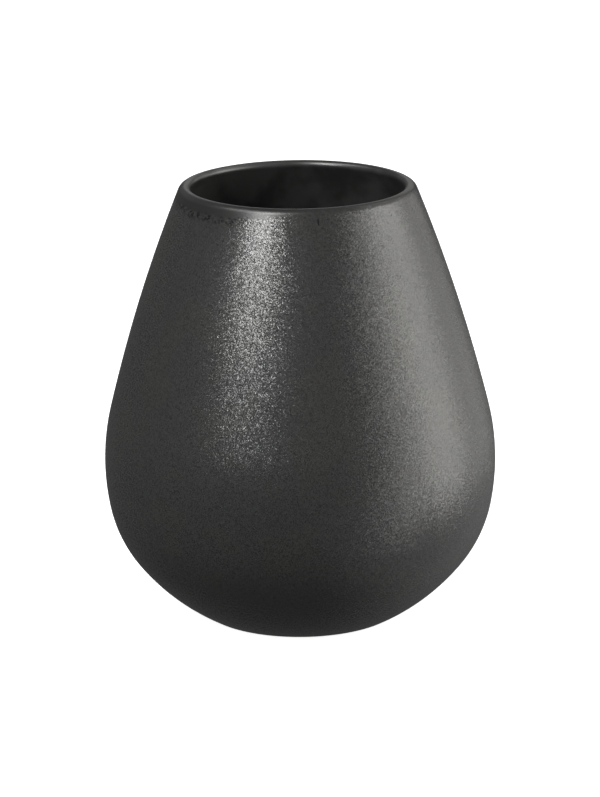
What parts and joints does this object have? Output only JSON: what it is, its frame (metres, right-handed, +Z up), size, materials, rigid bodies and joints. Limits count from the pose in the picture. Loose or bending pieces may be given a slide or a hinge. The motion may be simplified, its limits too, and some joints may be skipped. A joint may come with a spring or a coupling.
{
  "type": "candle jar",
  "caption": "Empty drop-shaped stoneware candle jar with a small foot, a wide belly and a rounded open mouth, glazed dark metallic grey.",
  "frame": {"origin": "centre of the foot, in the plane that the jar stands on", "axes": "+Z up along the jar's axis, through the centre of the mouth; X and Y are alike, because the jar is round"},
  "size_m": [0.161, 0.161, 0.18],
  "materials": {
    "stoneware": "matte",
    "outer_glaze": "satin",
    "rim_glaze": "satin",
    "liner_glaze": "satin",
    "base_glaze": "satin"
  },
  "bodies": {
    "root": {"stoneware_body": "stoneware", "outer_glaze": "outer_glaze", "rim_glaze": "rim_glaze", "inner_glaze": "liner_glaze", "base_glaze": "base_glaze"}
  },
  "joints": []
}
